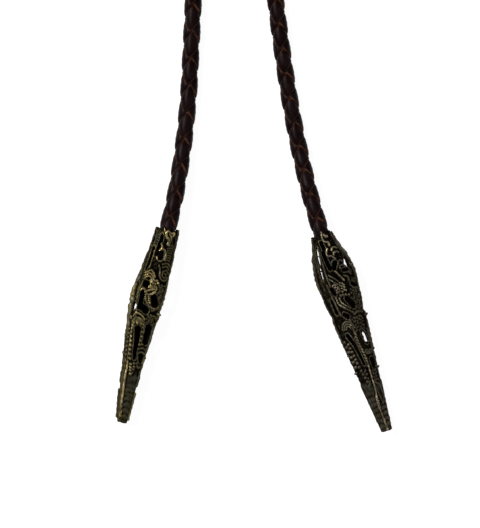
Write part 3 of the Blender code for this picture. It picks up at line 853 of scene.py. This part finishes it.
ORNAMENTS = {"left": left_tip_ornament, "right": right_tip_ornament}


def straight_above(work, values):
    """The values straight above each point of the tip's underside, and which points are on the underside.

    With R the section's radius at an angle from upright, the point at the angle a lies R(a) sin(a) to one
    side. The angle b straight above it is found by repeating b = arcsin(R(a) sin(a) / R(b)).
    """
    quarter = 2 * math.pi / PANELS
    around, along = np.meshgrid(work.around, work.along)
    roll = panel_roll(work.side, along)
    square = squareness(along)

    def radius(angle):
        turn = (angle - roll) / quarter
        return mix(1.0, 1 / np.cos((turn - np.round(turn)) * quarter), square)

    panel = np.floor((around + 1) / 2)
    angle = np.arctan(around - 2 * panel) + panel * quarter + roll
    aside = radius(angle) * np.sin(angle)
    other = math.pi - angle
    for _ in range(ABOVE_ROUNDS):
        other = np.arcsin(np.clip(aside / radius(other), -1, 1))
    panel = np.round((other - roll) / quarter)
    column = (2 * panel + np.tan(other - roll - panel * quarter) + 1) * PANEL_COLUMNS / 2
    whole = np.floor(column).astype(int)
    rows = np.arange(len(values))[:, None]
    columns = values.shape[1]
    found = mix(values[rows, whole % columns], values[rows, (whole + 1) % columns], column - whole)
    return found, np.cos(angle) < 0


def tip_ornament(side):
    """The whole tip's ornament: two panels and their repeat on the other two, on an uneven casting.

    No opening on the underside lies straight below one on top, apart from those that go through. Coarse lumps
    are sines of the angle and the length, bent by each other, and fine ones fill the ground between the ribs.
    The plates near the end are raised and smoother.
    """
    work = Ornament(side)
    for work.shift in (0.0, float(PANELS)):
        ORNAMENTS[side](work)
    above, below = straight_above(work, work.edge)
    through, _ = straight_above(work, work.through)
    shaded = np.minimum(np.maximum(work.edge, UNDERSIDE_MARGIN - above), through - THROUGH_MARGIN)
    work.edge = np.where(below, shaded, work.edge)
    y = work.along[:, None] * work.length
    turn = math.pi * (work.around[None, :] + 1) / PANELS
    coarse = np.sin(7 * turn + 1.1 * y + 2 * np.sin(0.6 * y)) * np.sin(1.9 * y + 2 * np.sin(3 * turn))
    fine = np.sin(26 * turn + 2.5 * np.sin(2.2 * y)) * np.sin(6.8 * y + 2.2 * np.sin(9 * turn))
    plate = ease((work.along[:, None] - PLATE_START) / PLATE_RISE)
    ground = PLATE_HEIGHT * plate + COARSE_LUMPS * coarse + FINE_LUMPS * (1 - 0.8 * plate) * fine
    work.height = ground + work.height * (0.92 + 0.10 * coarse)
    return work


def blurred(values, reach):
    """The mean over a square of cells, going round the ring and stopping at its ends."""
    count = 2 * reach + 1
    wide = sum(np.roll(values, k, axis=1) for k in range(-reach, reach + 1)) / count
    padded = np.pad(wide, ((reach, reach), (0, 0)), mode="edge")
    return sum(padded[k:k + len(values)] for k in range(count)) / count


def on_rims(kept):
    """Which grid points are on an opening's rim: some of their four cells are kept and some aren't."""
    shut = np.pad(kept, ((1, 1), (0, 0)))
    before = np.roll(shut, 1, axis=1)
    cells = np.stack([shut[1:], shut[:-1], before[1:], before[:-1]])
    inside = np.arange(PANEL_ROWS + 1)[:, None] % PANEL_ROWS > 0
    return cells.any(axis=0) & ~cells.all(axis=0) & inside


def shell_faces(kept):
    """Faces of the kept cells on the outer and the inner grid, and walls round every opening and both ends.

    The outer grid's points are numbered first, row by row, and the inner grid's follow.
    """
    rows, columns = kept.shape
    inner = (rows + 1) * columns
    number = np.arange(inner).reshape(rows + 1, columns)
    after = np.roll(number, -1, axis=1)
    a, b, c, d = number[:-1], after[:-1], after[1:], number[1:]
    faces = [np.stack([a, b, c, d], axis=-1)[kept], np.stack([d, c, b, a], axis=-1)[kept] + inner]
    shut = np.pad(kept, ((1, 1), (0, 0)))
    left, right = np.roll(kept, 1, axis=1), np.roll(kept, -1, axis=1)
    for beyond, start, end in ((shut[:-2], a, b), (right, b, c), (shut[2:], c, d), (left, d, a)):
        wall = kept & ~beyond
        start, end = start[wall], end[wall]
        faces.append(np.stack([end, start, start + inner, end + inner], axis=-1))
    return np.concatenate(faces)


def add_tip(side, material):
    """A cast shell whose outer face has the ornament and whose inner face is smooth.

    The cells whose middle is inside an opening are left out, and the points round them slide along the edge
    distance's slope onto the opening's outline. The relief number grows with the height and with how far a
    point stands proud of what is round it, and the rubbed number with the second alone, times the polish.
    """
    work = tip_ornament(side)
    height, edge = work.height, work.edge
    around, along = np.meshgrid(work.around, work.along)
    after = np.roll(edge, -1, axis=1)
    kept = edge[:-1] + edge[1:] + after[:-1] + after[1:] > 0
    half = work.half[:, None]
    cell = work.length / PANEL_ROWS
    slope_x = (after - np.roll(edge, 1, axis=1)) * PANEL_COLUMNS / 4 / half
    slope_y = np.gradient(edge, cell, axis=0)
    steep = np.maximum(slope_x ** 2 + slope_y ** 2, LEAST_SLOPE)
    move = np.where(on_rims(kept), np.clip(-edge, -cell, cell) / steep, 0.0)
    around = around + move * slope_x / half
    along = along + move * slope_y / work.length
    panel_number = np.floor((around + 1) / 2)
    across = around - 2 * panel_number

    at_mouth = np.clip(1 - along / RIM_SHARE, 0, 1)
    at_end = np.clip((along - 1) / END_SHARE + 1, 0, 1)
    wave = MOUTH_WAVE * (0.5 + 0.5 * np.cos(3 * math.pi * across))
    for place in RUFFLES[side]:
        wave = wave - RUFFLE_RISE * np.exp(-((around - place) / RUFFLE_WIDTH) ** 2)
    scoop = END_SCOOP * END_TONGUE * across ** 2
    along = along + (wave * at_mouth - scoop * at_end) / TIPS[side]["length"]
    mouth = mouth_centre(side)
    outer = section_points(side, along, panel_number, across, height * MM) + mouth
    inner = section_points(side, along, panel_number, across, np.full(along.shape, -SHEET)) + mouth
    points = np.concatenate([outer.reshape(-1, 3), inner.reshape(-1, 3)])

    proud = height - blurred(height, PROUD_REACH)
    sharp = height - blurred(height, SHARP_REACH)
    relief = np.clip((0.6 * height + 1.8 * proud + 0.06) / 0.4, 0, 1)
    rubbed = np.clip(sharp / 0.22, 0, 1) * work.gold
    relief, rubbed = (np.concatenate([part.ravel(), np.zeros(part.size)]) for part in (relief, rubbed))
    used, faces = np.unique(shell_faces(kept), return_inverse=True)
    return new_piece(side + "_tip_cast", points[used], faces.reshape(-1, 4), material,
                     {"relief": relief[used], "rubbed": rubbed[used]})


def route_points(route, sign, direction, height):
    """The chosen points, on one side of the tie, up (+1) or down (-1) from the tube's end."""
    lying = CORD_DIAMETER / 2
    return [(sign * (TUBE_SPACING / 2 + out * MM), direction * (TUBE_LENGTH / 2 + away * MM),
             mix(lying, height, rise)) for out, away, rise in route]


def tail_line(side):
    sign = TIPS[side]["sign"]
    route = TAIL_ROUTES[side]
    mouth = mouth_centre(side)
    inside = mouth + tip_axes(side)[2] * TAIL_IN_TIP
    start = (sign * TUBE_SPACING / 2, -TUBE_LENGTH / 2 - CORD_JOINT_GAP, TUBE_HEIGHT)
    from_slide = route_points(route[:TAIL_POINTS_NEAR_SLIDE], sign, -1, TUBE_HEIGHT)
    to_tip = route_points(route[TAIL_POINTS_NEAR_SLIDE:], sign, -1, mouth[2])
    return Line([start, *from_slide, *to_tip, mouth, (mouth + inside) / 2, inside])


def neck_line():
    through = [(TUBE_SPACING / 2, y, TUBE_HEIGHT) for y in (-TUBE_LENGTH / 2, 0.0, TUBE_LENGTH / 2)]
    right = [*through, *route_points(NECK_ROUTE, 1, 1, TUBE_HEIGHT)]
    top = (0.0, TUBE_LENGTH / 2 + NECK_TOP, CORD_DIAMETER / 2)
    left = [(-x, y, z) for x, y, z in right]
    return Line([*left, top, *reversed(right)])


def add_cords(material):
    """Two tails and the neck loop, whose pitch is set so that the braid runs on through the slide's tubes."""
    half_pitch = (BRAID_PITCH["left"] + BRAID_PITCH["right"]) / 4
    for side in TIPS:
        line = tail_line(side)
        tail = braid(side + "_braid", line, -OVERLAP_IN_TUBE, BRAID_PITCH[side], FIRST_LENS_TIP[side],
                     TAIL_STEP, line.length - TAIL_IN_TIP, material)
        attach(tail, "root")
        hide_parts(side + "_tail")
        path = line.read(line.points, np.linspace(0, line.length, CORD_PATH_POINTS))
    line = neck_line()
    gap = CORD_JOINT_GAP
    whole = line.length + 2 * gap + FIRST_LENS_TIP["left"] + FIRST_LENS_TIP["right"]
    pitch = 2 * whole / round(whole / half_pitch)
    neck = braid("neck_braid", line, 0.0, pitch, -FIRST_LENS_TIP["left"] - gap, NECK_STEP, line.length,
                 material)
    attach(neck, "root")
    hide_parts("neck_loop")


def add_tips():
    for side in TIPS:
        tip = add_tip(side, bronze_finish(side + "_tip_bronze", **BRONZES[side]))
        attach(tip, "root")
        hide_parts(side + "_tip")


def add_slide(material):
    """The slide's own solid, merged and shaded smooth between its sharp edges, with wear worked out by place.

    With r the distance from the middle as a share of the oval's half sizes, the tarnish is deepest where the
    dome meets its border, at r = 0.85, and the wear is on the plate's rim and the dome's top.
    """
    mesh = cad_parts["slide_clasp"].data.copy()
    merged = bmesh.new()
    merged.from_mesh(mesh)
    bmesh.ops.remove_doubles(merged, verts=merged.verts, dist=MERGE_DISTANCE)
    merged.to_mesh(mesh)
    merged.free()
    mesh.materials.clear()
    mesh.materials.append(material)
    mesh.polygons.foreach_set("use_smooth", np.ones(len(mesh.polygons), bool))
    mesh.set_sharp_from_angle(angle=SHARP_EDGE)
    place = np.empty(3 * len(mesh.vertices), np.float32)
    mesh.vertices.foreach_get("co", place)
    x, y, z = place.reshape(-1, 3).T
    r = np.hypot(x / (PLATE_WIDTH / 2), y / (PLATE_LENGTH / 2))
    relief = 1.0 - 0.75 * np.exp(-((r - 0.85) / 0.05) ** 2)
    rubbed = np.where(z > PLATE_LEVEL, 0.7 * ease((r - 0.93) / 0.05) + 0.45 * ease(1 - r / 0.6), 0.15)
    give_numbers(mesh, {"relief": relief, "rubbed": rubbed})
    slide = new_object("slide_body", mesh)
    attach(slide, "root")
    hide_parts("slide_clasp")


def add_floor():
    bpy.ops.mesh.primitive_plane_add(size=FLOOR_SIZE)
    floor = bpy.context.object
    floor.name = "floor"
    floor.data.materials.append(floor_finish())


def add_light():
    """A broad soft light from the upper left, a weaker one from the right, and an even pale surround."""
    for name, sun in LIGHTS.items():
        data = bpy.data.lights.new(name, "SUN")
        data.energy = sun["strength"]
        data.angle = math.radians(sun["width"])
        light = new_object(name, data)
        light.rotation_euler = (math.radians(sun["tilt"]), 0.0, math.radians(sun["turn"]))
    world = bpy.data.worlds.new("surround")
    world.use_nodes = True
    surround = world.node_tree.nodes["Background"]
    surround.inputs["Color"].default_value = (1.0, 1.0, 1.0, 1.0)
    surround.inputs["Strength"].default_value = SURROUND_STRENGTH
    bpy.context.scene.world = world
    bpy.context.scene.view_settings.view_transform = "Standard"


def add_camera():
    data = bpy.data.cameras.new("camera")
    data.sensor_width = 36.0
    data.lens = data.sensor_width * CAMERA_HEIGHT / PICTURE_HEIGHT
    data.clip_start = 0.05
    camera = new_object("camera", data)
    camera.location = (*PICTURE_CENTRE, CAMERA_HEIGHT)
    bpy.context.scene.camera = camera


add_tips()
add_cords(leather_finish())
add_slide(bronze_finish("slide_bronze", **BRONZES["slide"]))
add_floor()
add_light()
add_camera()
